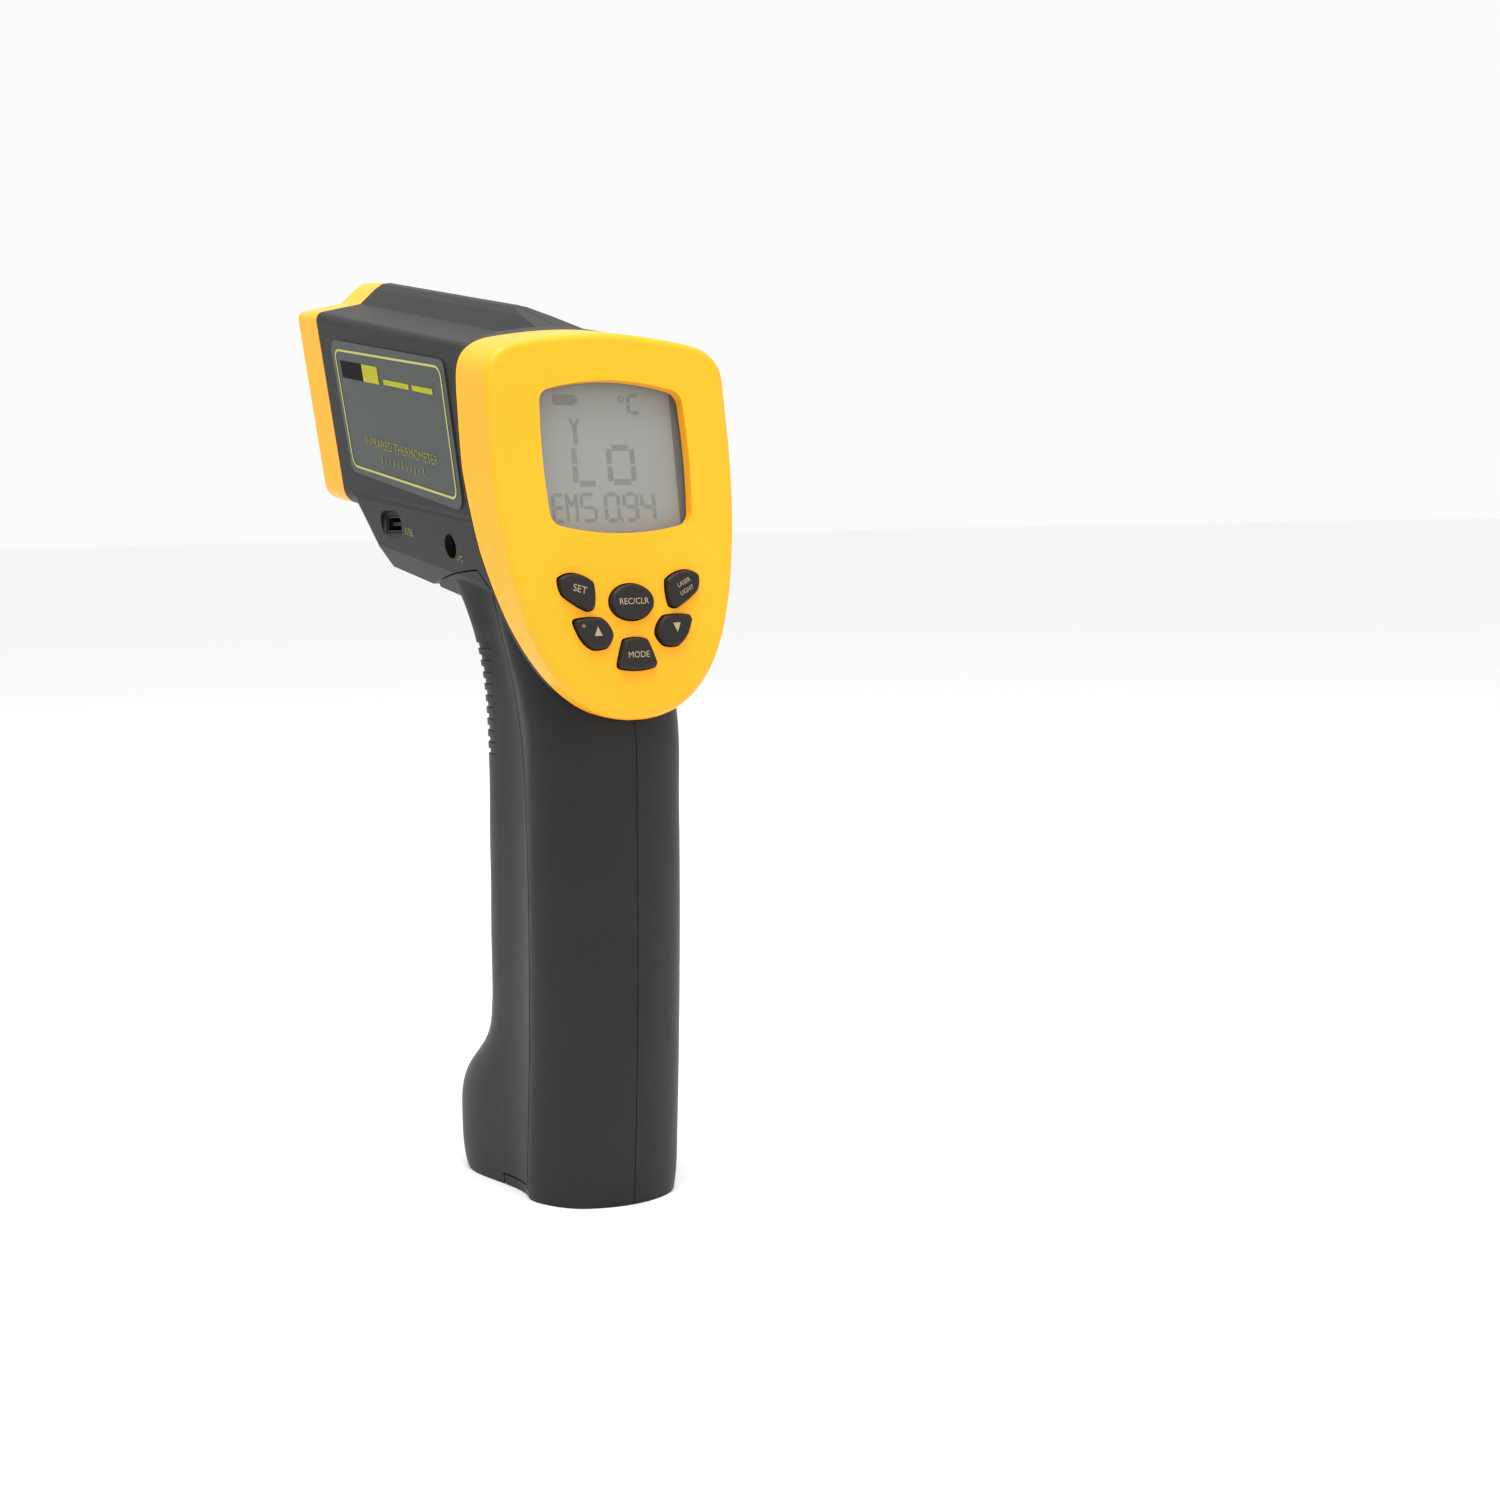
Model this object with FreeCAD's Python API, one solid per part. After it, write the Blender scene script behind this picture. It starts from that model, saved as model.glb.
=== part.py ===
import FreeCAD, Part
import math
import os
from FreeCAD import Vector

# Infrared thermometer, pistol form.  Millimetres.
# +X points out of the nose, +Y to the left of the person holding it, +Z up.
# The origin is on the base face, which lies at z = 0.

# ---- driving dimensions -------------------------------------------------------------------
WALL = 2.4                  # moulding thickness of every casing part
SEAM = 0.15                 # half the witness gap between two casing parts
CLEAR = 0.35                # gap round everything that moves

FACE_FOOT = -49.29          # where the plane of the rear face meets z = 0
FACE_LEAN = math.radians(8.5)
FACE_MID = 147.0            # height of the middle of the face

SHOULDER_REAR = (-15.0, 183.5, 22.4)    # x, z, half-width of the barrel's shoulder at its rear
SHOULDER_NOSE = (78.8, 200.0, 20.8)     # and where the nose ring starts
SHOULDER_FRONT = (95.0, 201.6, 20.4)    # and beyond the front face
BELLY_REAR = (-15.0, 143.5, 18.6)       # x, z, half-width of the barrel's lower edge
BELLY_NOSE = (78.8, 154.2, 15.9)
BELLY_FRONT = (95.0, 156.5, 15.7)
CROWN = 2.6                 # rise of the barrel's top from the shoulder to the foot of the ridge
RIDGE_HALF = 8.3
RIDGE_HEIGHT = 8.0
RIDGE_BREAK = (17.3, 197.3)             # where the ridge line turns down towards the bezel
RIDGE_END = (-2.2, 190.4)
SLIT_R = 0.35               # the slit along each side of that facet

NOSE_REAR = (78.8, 200.0)   # a point on the joint between the nose ring and the barrel
NOSE_FRONT = (89.7, 201.1)  # a point on the front rim of the nose ring
NOSE_LEAN = 0.107           # both planes lean forward by this much per unit of height

TRIGGER_PIN = (8.0, 130.5)
TRIGGER_PIN_R = 1.25
TRIGGER_HALF = 5.0

HINGE = (3.4, 1.7)          # battery door hinge, x and z
HINGE_R = 1.7               # its knuckles, which turn in the corner of the base
HINGE_PIN_R = 0.8
DOOR_TOP_R = 135.9          # the door's top edge is struck about the hinge
DOOR_FRONT = 31.0           # where the door's lip ends under the barrel
SILL = (1.35, 2.4)          # the casing's bottom plate reaches to this x, and is this thick
RIB_FOOT = 97.0             # lowest of the fine finger ribs, their number, pitch and depth
RIB_COUNT = 10
RIB_PITCH = 2.6
RIB_DEPTH = 0.45
MIDDLE = 28.4               # x of the middle of the instrument, which the nodes are moved to

BATTERY = (17.5, 26.5, 45.0)            # 9 V block: across, fore and aft, tall
KEY_PROUD = 1.3
USB_AT = (49.1, 148.3)      # x and z of the middle of each socket in the left side
JACK_AT = (19.0, 143.0)
STRAP_AT = -19.0            # x of the strap eye in the base
BUSH_AT = (49.7, 136.9)     # quarter-inch tripod bush, x and z of its mouth
BUSH_LEAN = math.atan(0.183)


# ---- shape helpers ------------------------------------------------------------------------
def box(x0, x1, y0, y1, z0, z1):
    return Part.makeBox(x1 - x0, y1 - y0, z1 - z0, Vector(x0, y0, z0))


def rod(radius, start, end):
    start, end = Vector(*start), Vector(*end)
    return Part.makeCylinder(radius, (end - start).Length, start, end - start)


def polygon(points):
    return Part.makePolygon([Vector(*p) for p in points + points[:1]])


def side_prism(points, y0, y1):
    """A plate whose outline is given in x and z, running from y0 to y1."""
    wire = polygon([(x, y0, z) for x, z in points])
    return Part.Face(wire).extrude(Vector(0, y1 - y0, 0))


def spacing(points, first):
    """Curve parameters in step with the distances round a loop, for all the sections of one loft."""
    loop = [Vector(*p) for p in points[first:] + points[:first + 1]]
    steps = [0.0]
    for a, b in zip(loop, loop[1:]):
        steps.append(steps[-1] + (b - a).Length)
    return steps


def smooth_loop(points, first, steps):
    """A closed smooth curve through the points, whose ends meet at the first one named."""
    curve = Part.BSplineCurve()
    curve.interpolate(Points=[Vector(*p) for p in points[first:] + points[:first]],
                      PeriodicFlag=True, Parameters=steps)
    return Part.Wire([curve.toShape()])


def mirrored(half):
    """Half an outline, from the top or rear middle round to the other middle, made whole."""
    return half + [(-p[0],) + tuple(p[1:]) for p in reversed(half[1:-1])]


def table(value, rows):
    """Straight-line interpolation in a short list of pairs."""
    for (a, fa), (b, fb) in zip(rows, rows[1:]):
        if value <= b:
            return fa + (fb - fa) * (value - a) / (b - a)
    return rows[-1][1]


def rounded(shape, radius, wanted):
    """Rounds the edges that the test picks, if the modeller can."""
    edges = [e for e in shape.Edges if wanted(e)]
    try:
        out = shape.makeFillet(radius, edges)
        if out.isValid() and out.Volume > 0:
            return out
    except Part.OCCError:
        pass
    print("a fillet of", radius, "was left out on", len(edges), "edges")
    return shape


def moved(shape, placement):
    shape = shape.copy()
    shape.Placement = placement.multiply(shape.Placement)
    return shape


# ---- the rear face's own frame: x to the viewer's right, y up the face, z out of it ----------
def face_x(z):
    return FACE_FOOT + math.tan(FACE_LEAN) * z


def face_frame():
    up = Vector(math.sin(FACE_LEAN), 0, math.cos(FACE_LEAN))
    out = Vector(-math.cos(FACE_LEAN), 0, math.sin(FACE_LEAN))
    right = up.cross(out)
    at = Vector(face_x(FACE_MID), 0, FACE_MID)
    m = FreeCAD.Matrix(right.x, up.x, out.x, at.x, right.y, up.y, out.y, at.y,
                       right.z, up.z, out.z, at.z, 0, 0, 0, 1)
    return FreeCAD.Placement(m)


FACE = face_frame()


def on_face(shape):
    return moved(shape, FACE)


def face_v(z):
    """Distance up the face from its middle to a height."""
    return (z - FACE_MID) / math.cos(FACE_LEAN)


# ---- outer form: every piece of the casing is cut from these ---------------------------------
FACE_HALF = [(0, 187.6), (10, 187.1), (19.5, 185.9), (26.0, 184.0), (29.0, 181.0), (29.9, 175),
             (30.0, 165), (29.5, 151.9), (28.0, 139.6), (25.2, 127.4), (20.2, 116.6), (11.6, 108.6),
             (0, 105.9)]
FACE_LOW = 105.8            # just under the lowest point of the face
BAND_EDGE = [(FACE_LOW, -28.4), (110.5, -26.8), (118, -24.0), (128, -19.9), (142, -14.8),
             (159.8, -10.4), (176, -8.5), (184.4, -8.2), (195, -8.0)]
RIM_EDGE = 50.0             # the rim of the face is in stretches longer than this
BAND_LIP = 1.0              # the casing keeps the bezel's outline this far before it narrows
HEAD_START = 6              # the point of the outline where its curve begins and ends
FLARE_EDGE = [(100, -25.0), (119.6, -18.4), (132, -13.6), (153.6, -6.3), (171.9, -2.4), (187.4, -1.3),
              (195, -1.2)]


def head(inset):
    """The bezel's band and the flare ahead of it, from the rear face to inside the barrel."""
    def squeeze(y, z, across, tall):
        return y * across, FACE_MID + (z - FACE_MID) * tall

    rims = []
    steps = spacing([(0, y, z) for y, z in mirrored(FACE_HALF)], HEAD_START)
    shrink_y, shrink_z = 1 - inset / 28.5, 1 - inset / 40.0
    for stage in range(4):
        ring = []
        for y, z in mirrored(FACE_HALF):
            y, z = squeeze(y, z, shrink_y, shrink_z)
            rise = max(0.0, min(1.0, (z - 160) / 20.0))
            if stage == 0:
                ring.append((face_x(z) + inset, y, z))
            elif stage == 1:
                z += 2.0 * rise
                ring.append((table(z, BAND_EDGE) + BAND_LIP, y * 0.985, z))
            elif stage == 2:
                z += 3.2 * rise
                ring.append((table(z, FLARE_EDGE), y * 0.79, z))
            else:
                y, z = squeeze(y, z, 0.6, 0.6)
                ring.append((6.0, y, z))
        rims.append(smooth_loop(ring, HEAD_START, steps))
    return Part.makeLoft(rims, True, True)


def barrel(inset):
    """The pitched box of the barrel, narrower at the bottom, out past the nose."""
    rims = []
    for (x, zs, ys), (_, zb, yb) in ((SHOULDER_REAR, BELLY_REAR), (SHOULDER_NOSE, BELLY_NOSE),
                                     (SHOULDER_FRONT, BELLY_FRONT)):
        half = [(RIDGE_HALF, zs + CROWN - inset), (ys - inset, zs - inset), (yb - inset, zb + inset)]
        ring = half + [(-y, z) for y, z in reversed(half)]
        rims.append(polygon([(x, y, z) for y, z in ring]))
    solid = Part.makeLoft(rims, True, True)
    if inset > 1:
        return solid

    def long_edge(e, low, high):
        t = e.tangentAt(e.FirstParameter)
        middle = e.CenterOfMass
        return abs(t.x) > 0.9 and low < abs(middle.y) < high

    solid = rounded(solid, 4.0, lambda e: long_edge(e, 15, 18.6) and e.CenterOfMass.z < 170)
    return rounded(solid, 2.2, lambda e: long_edge(e, 19, 24) and e.CenterOfMass.z > 170)


def ridge(inset):
    """The sighting ridge along the top, planed off towards the bezel."""
    def ring(x, z):
        half = [(0, RIDGE_HEIGHT), (1.9, RIDGE_HEIGHT - 0.35), (4.0, RIDGE_HEIGHT - 1.7),
                (RIDGE_HALF, CROWN), (RIDGE_HALF + 1, CROWN - 4)]
        half = [(max(0, y - inset * 0.8), h - inset) for y, h in half]
        return polygon([(x, y, z + h) for y, h in half + [(-y, h) for y, h in reversed(half[1:])]])

    stations = [(-8.0, SHOULDER_NOSE[1] - (SHOULDER_NOSE[0] + 8.0) * 0.1757),
                (SHOULDER_NOSE[0], SHOULDER_NOSE[1]), (SHOULDER_FRONT[0], SHOULDER_FRONT[1])]
    solid = Part.makeLoft([ring(x, z) for x, z in stations], True, True)
    (xa, za), (xb, zb) = RIDGE_END, RIDGE_BREAK
    slope = (zb - za) / (xb - xa)
    above = side_prism([(-40, za - (40 + xa) * slope - inset), (60, zb + (60 - xb) * slope - inset),
                        (60, 260), (-40, 260)], -30, 30)
    return solid.cut(above)


PANEL_TOP = (16.4, 149.3, 0.115)        # x, z and slope of the under-barrel's upper edge
PANEL_FOOT = (9.7, 135.4, 0.165)        # of the lower edge of its sides
KEEL = (23.0, 132.2, 0.183)             # of its bottom face


def line(rule, x):
    return rule[1] + (x - rule[0]) * rule[2]


def under_barrel(inset):
    """The box slung under the barrel, with a chamfer along each lower edge and a sloped front."""
    rims = []
    for x, wide in ((0.0, 18.4), (74.0, 16.7)):
        half = [(wide - 2 - inset, line(PANEL_TOP, x) + 8), (wide - inset, line(PANEL_TOP, x)),
                (wide - 2.2 - inset, line(PANEL_FOOT, x)),
                (wide - 4.6 - inset * 0.7, line(KEEL, x) + inset)]
        ring = half + [(-y, z) for y, z in reversed(half)]
        rims.append(polygon([(x, y, z) for y, z in ring]))
    solid = Part.makeLoft(rims, True, True)
    front = side_prism([(45.0 - inset, 120.0), (76.5 - inset, 165.0), (90, 165), (90, 120)], -30, 30)
    solid = solid.cut(front)
    if inset > 0.5:
        return solid
    corner = rounded(solid, 3.0, lambda e: e.CenterOfMass.x > 55 and abs(e.CenterOfMass.y) > 13
                     and abs(e.tangentAt(e.FirstParameter).x) < 0.8
                     and abs(e.tangentAt(e.FirstParameter).y) < 0.5 and e.CenterOfMass.z < 156)
    return corner


# height, mean front x, swell for the fingers, half-width, how square the front is
GRIP = [(0.0, 26.0, 0, 16.6, 0.9), (4.0, 27.4, 0, 17.3, 0.9), (12.0, 28.3, 0, 17.4, 0.9),
        (19.0, 28.0, 0, 17.4, 0.85), (24.0, 25.6, 0, 17.4, 0.7), (29.0, 20.8, 0, 17.4, 0.45),
        (34.0, 16.9, 0.4, 17.4, 0.25), (39.0, 15.9, 0.6, 17.4, 0.15), (45.5, 15.8, -0.9, 17.4, 0.12),
        (56.0, 15.8, 1.0, 17.4, 0.12), (67.2, 15.7, -1.1, 17.4, 0.12), (78.5, 15.5, 0.9, 17.4, 0.12),
        (90.0, 15.2, -1.1, 17.4, 0.12), (101.5, 15.0, 0.7, 17.5, 0.15), (112.0, 14.5, 0, 17.8, 0.2),
        (120.0, 15.2, 0, 18.0, 0.3), (127.0, 18.8, 0, 17.8, 0.4), (133.0, 25.5, 0, 16.8, 0.5),
        (141.0, 33.0, 0, 14.5, 0.5)]
GRIP_BACK = -31.0           # rearmost x of the grip, reached at the height below
GRIP_BACK_AT = 86.0
GRIP_START = 4              # the point of a section where its curve begins and ends


def grip_rear(z):
    """The back of the grip leans in a little towards the base, and tucks under the bezel above."""
    if z < GRIP_BACK_AT:
        return GRIP_BACK + 3.3 * ((GRIP_BACK_AT - z) / GRIP_BACK_AT) ** 2
    return GRIP_BACK + max(0.0, z - 104) ** 1.3 * 0.16


def grip(inset):
    """The handle, a smooth skin over sections that swell and shrink for the fingers."""
    rims, steps = [], None
    for z, mean, swell, half, square in GRIP:
        rear, front, half = grip_rear(z) + inset, mean - inset, half - inset
        widest = rear + 17.0
        ring = [(rear, 0), (rear + 1.2, 0.42 * half), (rear + 4.0, 0.74 * half),
                (rear + 8.8, 0.94 * half), (widest, half),
                (widest + 0.45 * (front - widest), (0.93 + 0.03 * square) * half),
                (widest + (0.78 + 0.08 * square) * (front - widest) + 0.25 * swell,
                 (0.74 + 0.14 * square) * half),
                (front - 1.6 + 0.9 * square + 0.8 * swell, (0.42 + 0.14 * square) * half),
                (front + swell, 0)]
        loop = ring + [(x, -y) for x, y in reversed(ring[1:-1])]
        height = z + (inset if z == 0 else 0)
        loop = [(x, y, height) for x, y in loop]
        steps = steps or spacing(loop, GRIP_START)
        rims.append(smooth_loop(loop, GRIP_START, steps))
    return Part.makeLoft(rims, True, False, False, 5)


def envelope(inset):
    """The whole outer form, shrunk by the inset."""
    body = barrel(inset).fuse([head(inset), ridge(inset), under_barrel(inset), grip(inset)])
    top = NOSE_FRONT[0] - inset + (230 - NOSE_FRONT[1]) * NOSE_LEAN
    foot = NOSE_FRONT[0] - inset + (130 - NOSE_FRONT[1]) * NOSE_LEAN
    ahead = side_prism([(top, 230), (foot, 130), (140, 130), (140, 230)], -40, 40)
    return body.cut(ahead)


# ---- where one casing part ends and the next begins -----------------------------------------
def bezel_zone(gap):
    rows = [(x + gap, z) for z, x in BAND_EDGE]
    foot = FACE_LOW - gap
    return side_prism([(-70, foot), (rows[0][0], foot)] + rows[1:] + [(-70, 195)], -40, 40)


def nose_zone(gap):
    x_top = NOSE_REAR[0] + (230 - NOSE_REAR[1]) * NOSE_LEAN - gap
    x_foot = NOSE_REAR[0] + (130 - NOSE_REAR[1]) * NOSE_LEAN - gap
    return side_prism([(x_top, 230), (x_foot, 130), (140, 130), (140, 230)], -40, 40)


def door_zone(gap, front):
    """The front of the grip and the throat, up to a top edge struck about the hinge."""
    seam = [(-11.8 - gap, -5), (-11.8 - gap, 5), (-13.5 - gap, 30), (-14.3 - gap, 57),
            (-13.4 - gap, 88), (-10.8 - gap, 104), (-7.4 - gap, 117), (-2.0 - gap, 127.6 + gap)]
    radius = DOOR_TOP_R + gap
    sweep = []
    for x in (7.5, 13.0, 19.0, 25.0, front):
        reach = x - HINGE[0]
        sweep.append(Vector(x, 0, HINGE[1] + math.sqrt(radius ** 2 - reach ** 2)))
    rear = Part.BSplineCurve()
    rear.interpolate([Vector(x, 0, z) for x, z in seam[1:]] + [sweep[0]])
    top = Part.Arc(sweep[0], sweep[2], sweep[4])
    foot = Vector(seam[0][0], 0, seam[0][1])
    below = Vector(front, 0, 118)
    far = [Vector(60, 0, 118), Vector(60, 0, -5)]
    edges = [Part.LineSegment(foot, Vector(seam[1][0], 0, seam[1][1])).toShape(), rear.toShape(),
             top.toShape(), Part.LineSegment(sweep[4], below).toShape(),
             Part.LineSegment(below, far[0]).toShape(), Part.LineSegment(far[0], far[1]).toShape(),
             Part.LineSegment(far[1], foot).toShape()]
    face = Part.Face(Part.Wire(edges))
    zone = face.extrude(Vector(0, 80, 0)).translated(Vector(0, -40, 0))
    sill_x, sill_z = (SILL[0], SILL[1] + CLEAR) if gap else (HINGE[0], SILL[1] + CLEAR)
    sill = box(-30, sill_x, -30, 30, -10, sill_z - gap)
    return zone.cut(sill)


OUTER = envelope(0.0)
INNER = envelope(WALL)
SKIN = OUTER.cut(INNER)
HEAD = head(0.0)


# ---- casing --------------------------------------------------------------------------------
BARREL_SKIN = barrel(-0.35).cut(barrel(0.0))
VENT_DEPTH = 0.7
VENT_FRAME = [(1.3, 151.4), (59.8, 159.0), (59.0, 145.7), (0.7, 138.2)]
GROOVE = 0.55               # width of the groove drawn round the vent panel
LABEL_RIGHT = [(6.0, 183.6), (67.6, 192.2), (65.6, 162.4), (4.2, 154.6)]
LABEL_LEFT = [(11.5, 184.0), (71.5, 193.2), (67.0, 161.4), (9.0, 150.6)]
RIBS = 11


def half_casing(side):
    """Left (+1) or right (-1) moulding: skin of barrel, throat and grip, less its neighbours."""
    y0, y1 = (SEAM * 0.6, 60) if side > 0 else (-60, -SEAM * 0.6)
    shell = SKIN.cut(bezel_zone(SEAM).common(HEAD)).cut(nose_zone(SEAM)).cut(door_zone(CLEAR, 44.0))
    shell = shell.common(box(-60, 120, y0, y1, -5, 230))
    if side > 0:
        (xu, zu), (xj, zj) = USB_AT, JACK_AT
        usb = box(xu - 4.1, xu + 4.1, 10, 25, zu - 2.1, zu + 2.1)
        dish = rod(3.2, (xu - 2.7, 15.6, zu), (xu - 2.7, 25, zu)).fuse(
            rod(3.2, (xu + 2.7, 15.6, zu), (xu + 2.7, 25, zu))).fuse(
            box(xu - 2.7, xu + 2.7, 15.6, 25, zu - 3.2, zu + 3.2))
        shell = shell.cut(usb).cut(dish).cut(rod(2.8, (xj, 10, zj), (xj, 25, zj)))
    else:
        shell = shell.cut(vent_panel())
    bush = Vector(-math.sin(BUSH_LEAN), 0, math.cos(BUSH_LEAN))
    mouth = Vector(BUSH_AT[0], 0, BUSH_AT[1])
    low, high = mouth - bush * 3, mouth + bush * 12
    shell = shell.cut(rod(4.3, tuple(low), tuple(high)))
    shell = shell.cut(strap_pocket(0.0)).cut(strap_bar())
    (xa, za), (xb, zb) = RIDGE_END, RIDGE_BREAK
    shell = shell.cut(rod(SLIT_R, (xb, side * 1.9, zb - 0.2), (xa, side * (RIDGE_HALF + 0.6), za)))
    for x, z in SCREWS:
        shell = shell.fuse(rod(3.2, (x, side * 1.2, z), (x, side * 24, z)).common(INNER))
        bore = 1.15 if side > 0 else 1.6
        reach = 12 if side > 0 else 30
        shell = shell.cut(rod(bore, (x, 0, z), (x, side * reach, z)))
        if side < 0:
            shell = shell.cut(rod(2.9, (x, -14, z), (x, -40, z)))
    return shell


SCREWS = [(14.0, 160.0), (46.0, 163.5)]     # x and z, under the labels


def vent_panel():
    """The shallow recess with upright slots on the right of the under-barrel."""
    slots = None
    for i in range(RIBS):
        x = 4.6 + i * 5.05
        low = 140.3 + (x - 0.7) * 0.128
        tall = [(x, low), (x + 3.6, low + 0.4), (x + 4.0, low + 9.6), (x + 0.6, low + 9.2)]
        slot = side_prism(tall, -25, -5)
        slots = slot if slots is None else slots.fuse(slot)
    middle = Vector(sum(x for x, z in VENT_FRAME) / 4, 0, sum(z for x, z in VENT_FRAME) / 4)
    frames = []
    for step in (0.0, GROOVE):
        outline = [(x - math.copysign(step, x - middle.x), z - math.copysign(step, z - middle.z))
                   for x, z in VENT_FRAME]
        frames.append(rounded(side_prism(outline, -25, -5), 1.6 - step,
                              lambda e: abs(e.tangentAt(e.FirstParameter).y) > 0.99))
    cutters = slots.fuse(frames[0].cut(frames[1]))
    return cutters.cut(barrel(VENT_DEPTH).fuse(under_barrel(VENT_DEPTH)))


def strap_pocket(grow):
    """The eye in the base that the wrist strap's loop goes through."""
    x, half, deep, reach = STRAP_AT, 2.6 + grow, 6.0 + grow, 1.6
    ends = [rod(half, (x + s * reach, 0, -1), (x + s * reach, 0, deep)) for s in (-1, 1)]
    return ends[0].fuse(ends[1]).fuse(box(x - reach, x + reach, -half, half, -1, deep))


def strap_cup():
    """The closed cup moulded round the strap eye, inside the grip."""
    cup = strap_pocket(1.4).common(box(-60, 60, -30, 30, WALL, 20)).cut(strap_pocket(0.0))
    return cup.cut(strap_bar())


def bezel():
    """The face and its band, closed below where the grip's skin runs up to it."""
    body = SKIN.common(bezel_zone(-SEAM)).common(HEAD)
    body = rounded(body, 2.0, lambda e: e.Length > RIM_EDGE and face_gap(e) < 0.1)
    for hole in [window(0.0, -12, 4)] + [key_solid(k, 0.30, -9, 4) for k in KEYS]:
        body = body.cut(on_face(hole))
    return body


def face_gap(edge):
    p = edge.valueAt(edge.FirstParameter)
    q = edge.valueAt((edge.FirstParameter + edge.LastParameter) / 2)
    return max(abs(p.x - face_x(p.z)), abs(q.x - face_x(q.z)))


def bowed(points, bulges):
    """A closed outline of arcs; each bulge is the sagitta of the stretch that follows its point."""
    edges = []
    for (a, b), bulge in zip(zip(points, points[1:] + points[:1]), bulges):
        a, b = Vector(a[0], a[1], 0), Vector(b[0], b[1], 0)
        if abs(bulge) < 1e-6:
            edges.append(Part.LineSegment(a, b).toShape())
            continue
        along = (b - a).normalize()
        side = Vector(along.y, -along.x, 0)
        edges.append(Part.Arc(a, (a + b) * 0.5 + side * bulge, b).toShape())
    return Part.Wire(edges)


def upright(e):
    t = e.tangentAt(e.FirstParameter)
    return abs(t.z) > 0.99


def slab(wire, low, high, corner):
    solid = Part.Face(wire).extrude(Vector(0, 0, high - low)).translated(Vector(0, 0, low))
    return rounded(solid, corner, upright) if corner else solid


def window(grow, low, high):
    """The opening over the display: four bowed sides with rounded corners."""
    x, top, foot = 17.6 + grow, face_v(175.2) + grow, face_v(147.6) - grow
    wire = bowed([(-x, foot), (x, foot), (x + 0.1, top), (-x - 0.1, top)], [2.3, 0.7, 2.5, 0.7])
    return slab(wire, low, high, 3.2 + grow * 0.5)


# name, centre across, height, outline relative to its centre, bulges, corner radius
KEYS = [("set", -13.1, 133.3, [(-4.3, 2.8), (-3.6, -0.7), (1.6, -3.9), (3.6, -3.4), (3.9, 1.9),
                               (-0.8, 3.8)], [0.3, 0.2, 0.2, 0.3, 0.4, 0.3], 0.9),
        ("laser", 13.1, 133.3, [(0.8, 3.8), (-3.9, 1.9), (-3.6, -3.4), (-1.6, -3.9), (3.6, -0.7),
                                (4.3, 2.8)], [0.4, 0.3, 0.2, 0.2, 0.3, 0.3], 0.9),
        ("record", 0.0, 130.8, [(-5.35, 0), (5.35, 0)], [3.8, 3.8], 0),
        ("up", -10.1, 124.4, [(-4.7, 3.0), (-3.6, 0.0), (-0.6, -3.1), (2.8, -2.9), (4.6, -0.4),
                              (2.2, 3.2)], [0.1, 0.4, 0.2, 0.3, 0.5, 0.3], 0.9),
        ("down", 10.1, 124.4, [(-2.2, 3.2), (-4.6, -0.4), (-2.8, -2.9), (0.6, -3.1), (3.6, 0.0),
                               (4.7, 3.0)], [0.5, 0.3, 0.2, 0.4, 0.1, 0.3], 0.9),
        ("mode", 0.0, 119.8, [(-2.9, 3.1), (-4.95, -2.6), (4.95, -2.6), (2.9, 3.1)],
         [0.1, 0.7, 0.1, 0.4], 0.9)]


def key_solid(key, grow, low, high):
    """A key's outline as a plug through the face, grown all round for its hole."""
    name, across, height, outline, bulges, corner = key
    if name == "record":
        wire = Part.Wire([Part.Ellipse(Vector(0, 0, 0), 5.35 + grow, 3.8 + grow).toShape()])
    else:
        reach = sum(math.hypot(*p) for p in outline) / len(outline)
        scale = (reach + grow * 1.25) / reach
        wire = bowed([(x * scale, y * scale) for x, y in outline], [b * scale for b in bulges])
    solid = slab(wire, low, high, corner)
    return solid.translated(Vector(across, face_v(height), 0))


def key(spec):
    """A moulded rubber key with a crowned top and a stem down to the carbon pill."""
    cap = key_solid(spec, 0.0, -4.2, KEY_PROUD)
    cap = rounded(cap, 0.7, lambda e: abs(e.CenterOfMass.z - KEY_PROUD) < 1e-3)
    stem = Part.makeCylinder(1.6, 1.2, Vector(spec[1], face_v(spec[2]), -5.4))
    return on_face(cap.fuse(stem))


def keypad_sheet():
    """The board the keys press on, right behind them."""
    wire = bowed([(-9, face_v(114.4)), (9, face_v(114.4)), (19.5, face_v(128)), (21, face_v(141)),
                  (-21, face_v(141)), (-19.5, face_v(128))], [1, 0, 0, 0, 0, 0])
    return on_face(slab(wire, -8.0, -6.4, 0)).common(INNER)


# ---- display -------------------------------------------------------------------------------
def window_pane():
    return on_face(window(0.9, -3.6, -2.7))


def display_module():
    wire = bowed([(-20.5, face_v(143.4)), (20.5, face_v(143.4)), (20.5, face_v(179.4)),
                  (-20.5, face_v(179.4))], [0, 0, 0, 0])
    return on_face(slab(wire, -6.6, -3.7, 0))


def display_board():
    wire = bowed([(-21, face_v(142.4)), (21, face_v(142.4)), (21.5, face_v(180)),
                  (-21.5, face_v(180))], [0, 0, 0, 0])
    return on_face(slab(wire, -8.4, -6.8, 0))


def buzzer():
    return on_face(Part.makeCylinder(4.5, 3.6, Vector(0, face_v(160), -12.2)))


# ---- nose ----------------------------------------------------------------------------------
AXIS_UP = math.atan(NOSE_LEAN)
NOSE_AXIS = Vector(math.cos(AXIS_UP), 0, math.sin(AXIS_UP))
LENS_Z = 181.5
LASER_Z = 163.5


def nose_at(z, depth):
    """A point on the nose's front plane at a height, then back along the sight line."""
    x = NOSE_FRONT[0] + (z - NOSE_FRONT[1]) * NOSE_LEAN
    return Vector(x, 0, z) - NOSE_AXIS * depth


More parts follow.
